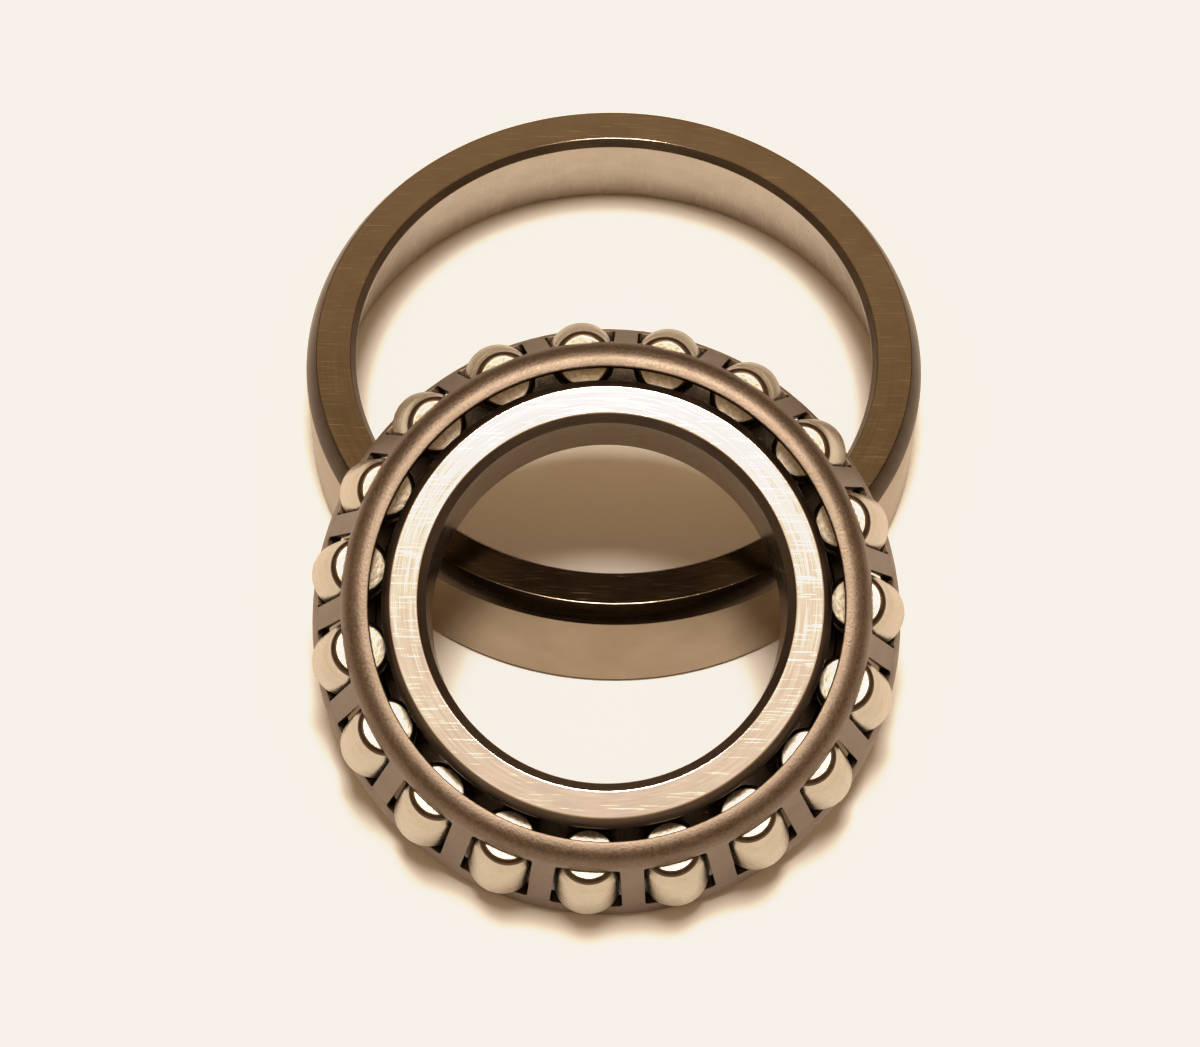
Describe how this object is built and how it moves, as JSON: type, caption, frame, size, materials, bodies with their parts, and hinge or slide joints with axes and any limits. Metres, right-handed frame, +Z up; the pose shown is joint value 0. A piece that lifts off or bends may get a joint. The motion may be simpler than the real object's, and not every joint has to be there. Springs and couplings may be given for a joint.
{
  "type": "tapered roller bearing",
  "caption": "Separable tapered roller bearing lying apart: the outer ring rests mouth down, and the inner ring with its caged rollers leans on the outer ring's rim.",
  "frame": {"origin": "under the middle of the whole object, on the flat surface that the outer ring lies on", "axes": "+Z up, along the outer ring's own axis and out of its back face; -Y from the outer ring towards the leaning inner ring, which is the side the object is seen from; +X to the right"},
  "size_m": [0.0502, 0.0736, 0.0288],
  "materials": {
    "cup_steel": "satin",
    "ring_steel": "polished",
    "roller_steel": "satin",
    "cage_steel": "satin"
  },
  "bodies": {
    "cup": {"cup": "cup_steel"},
    "inner_ring": {"inner_ring": "ring_steel"},
    "cage": {"cage": "cage_steel"},
    "roller_01": {"roller_01": "roller_steel"},
    "roller_02": {"roller_02": "roller_steel"},
    "roller_03": {"roller_03": "roller_steel"},
    "roller_04": {"roller_04": "roller_steel"},
    "roller_05": {"roller_05": "roller_steel"},
    "roller_06": {"roller_06": "roller_steel"},
    "roller_07": {"roller_07": "roller_steel"},
    "roller_08": {"roller_08": "roller_steel"},
    "roller_09": {"roller_09": "roller_steel"},
    "roller_10": {"roller_10": "roller_steel"},
    "roller_11": {"roller_11": "roller_steel"},
    "roller_12": {"roller_12": "roller_steel"},
    "roller_13": {"roller_13": "roller_steel"},
    "roller_14": {"roller_14": "roller_steel"},
    "roller_15": {"roller_15": "roller_steel"},
    "roller_16": {"roller_16": "roller_steel"},
    "roller_17": {"roller_17": "roller_steel"},
    "roller_18": {"roller_18": "roller_steel"},
    "roller_19": {"roller_19": "roller_steel"}
  },
  "joints": [
    {"name": "cone_assembly_lift", "type": "slide", "parent": "cup", "child": "inner_ring", "axis": [0, -0.4131, 0.9107], "range_m": [0, 0.035]},
    {"name": "cage_orbit", "type": "hinge", "parent": "inner_ring", "child": "cage", "pos_m": [-0.00013, -0.01596, 0.01549], "axis": [0, -0.4131, 0.9107], "continuous": true},
    {"name": "roller_01_spin", "type": "hinge", "parent": "cage", "child": "roller_01", "pos_m": [-0.00104, -0.03463, 0.01141], "axis": [0.0104, -0.2097, 0.9777], "continuous": true},
    {"name": "roller_02_spin", "type": "hinge", "parent": "cage", "child": "roller_02", "pos_m": [0.00507, -0.03397, 0.01171], "axis": [-0.0593, -0.2171, 0.9743], "continuous": true},
    {"name": "roller_03_spin", "type": "hinge", "parent": "cage", "child": "roller_03", "pos_m": [0.01062, -0.03155, 0.01281], "axis": [-0.1226, -0.2447, 0.9618], "continuous": true},
    {"name": "roller_04_spin", "type": "hinge", "parent": "cage", "child": "roller_04", "pos_m": [0.01501, -0.02762, 0.01459], "axis": [-0.1726, -0.2896, 0.9415], "continuous": true},
    {"name": "roller_05_spin", "type": "hinge", "parent": "cage", "child": "roller_05", "pos_m": [0.01776, -0.0226, 0.01687], "axis": [-0.2039, -0.3468, 0.9155], "continuous": true},
    {"name": "roller_06_spin", "type": "hinge", "parent": "cage", "child": "roller_06", "pos_m": [0.01857, -0.01704, 0.01939], "axis": [-0.2131, -0.4102, 0.8868], "continuous": true},
    {"name": "roller_07_spin", "type": "hinge", "parent": "cage", "child": "roller_07", "pos_m": [0.01735, -0.01154, 0.02188], "axis": [-0.1992, -0.4728, 0.8583], "continuous": true},
    {"name": "roller_08_spin", "type": "hinge", "parent": "cage", "child": "roller_08", "pos_m": [0.01423, -0.0067, 0.02408], "axis": [-0.1637, -0.528, 0.8333], "continuous": true},
    {"name": "roller_09_spin", "type": "hinge", "parent": "cage", "child": "roller_09", "pos_m": [0.00957, -0.00304, 0.02574], "axis": [-0.1105, -0.5696, 0.8144], "continuous": true},
    {"name": "roller_10_spin", "type": "hinge", "parent": "cage", "child": "roller_10", "pos_m": [0.00385, -0.00097, 0.02668], "axis": [-0.0453, -0.5933, 0.8037], "continuous": true},
    {"name": "roller_11_spin", "type": "hinge", "parent": "cage", "child": "roller_11", "pos_m": [-0.0023, -0.00069, 0.0268], "axis": [0.0248, -0.5964, 0.8023], "continuous": true},
    {"name": "roller_12_spin", "type": "hinge", "parent": "cage", "child": "roller_12", "pos_m": [-0.00822, -0.00225, 0.0261], "axis": [0.0922, -0.5787, 0.8103], "continuous": true},
    {"name": "roller_13_spin", "type": "hinge", "parent": "cage", "child": "roller_13", "pos_m": [-0.01326, -0.00548, 0.02463], "axis": [0.1496, -0.5419, 0.827], "continuous": true},
    {"name": "roller_14_spin", "type": "hinge", "parent": "cage", "child": "roller_14", "pos_m": [-0.01687, -0.01002, 0.02257], "axis": [0.1908, -0.4902, 0.8505], "continuous": true},
    {"name": "roller_15_spin", "type": "hinge", "parent": "cage", "child": "roller_15", "pos_m": [-0.01867, -0.01538, 0.02014], "axis": [0.2114, -0.4291, 0.8782], "continuous": true},
    {"name": "roller_16_spin", "type": "hinge", "parent": "cage", "child": "roller_16", "pos_m": [-0.01847, -0.02098, 0.0176], "axis": [0.209, -0.3652, 0.9072], "continuous": true},
    {"name": "roller_17_spin", "type": "hinge", "parent": "cage", "child": "roller_17", "pos_m": [-0.01627, -0.02622, 0.01522], "axis": [0.184, -0.3055, 0.9343], "continuous": true},
    {"name": "roller_18_spin", "type": "hinge", "parent": "cage", "child": "roller_18", "pos_m": [-0.01233, -0.03053, 0.01327], "axis": [0.139, -0.2564, 0.9565], "continuous": true},
    {"name": "roller_19_spin", "type": "hinge", "parent": "cage", "child": "roller_19", "pos_m": [-0.00706, -0.03343, 0.01195], "axis": [0.079, -0.2233, 0.9716], "continuous": true}
  ],
  "couplings": [
    {"joint": "roller_01_spin", "follows": "cage_orbit", "ratio": 6.902},
    {"joint": "roller_02_spin", "follows": "cage_orbit", "ratio": 6.902},
    {"joint": "roller_03_spin", "follows": "cage_orbit", "ratio": 6.902},
    {"joint": "roller_04_spin", "follows": "cage_orbit", "ratio": 6.902},
    {"joint": "roller_05_spin", "follows": "cage_orbit", "ratio": 6.902},
    {"joint": "roller_06_spin", "follows": "cage_orbit", "ratio": 6.902},
    {"joint": "roller_07_spin", "follows": "cage_orbit", "ratio": 6.902},
    {"joint": "roller_08_spin", "follows": "cage_orbit", "ratio": 6.902},
    {"joint": "roller_09_spin", "follows": "cage_orbit", "ratio": 6.902},
    {"joint": "roller_10_spin", "follows": "cage_orbit", "ratio": 6.902},
    {"joint": "roller_11_spin", "follows": "cage_orbit", "ratio": 6.902},
    {"joint": "roller_12_spin", "follows": "cage_orbit", "ratio": 6.902},
    {"joint": "roller_13_spin", "follows": "cage_orbit", "ratio": 6.902},
    {"joint": "roller_14_spin", "follows": "cage_orbit", "ratio": 6.902},
    {"joint": "roller_15_spin", "follows": "cage_orbit", "ratio": 6.902},
    {"joint": "roller_16_spin", "follows": "cage_orbit", "ratio": 6.902},
    {"joint": "roller_17_spin", "follows": "cage_orbit", "ratio": 6.902},
    {"joint": "roller_18_spin", "follows": "cage_orbit", "ratio": 6.902},
    {"joint": "roller_19_spin", "follows": "cage_orbit", "ratio": 6.902}
  ]
}
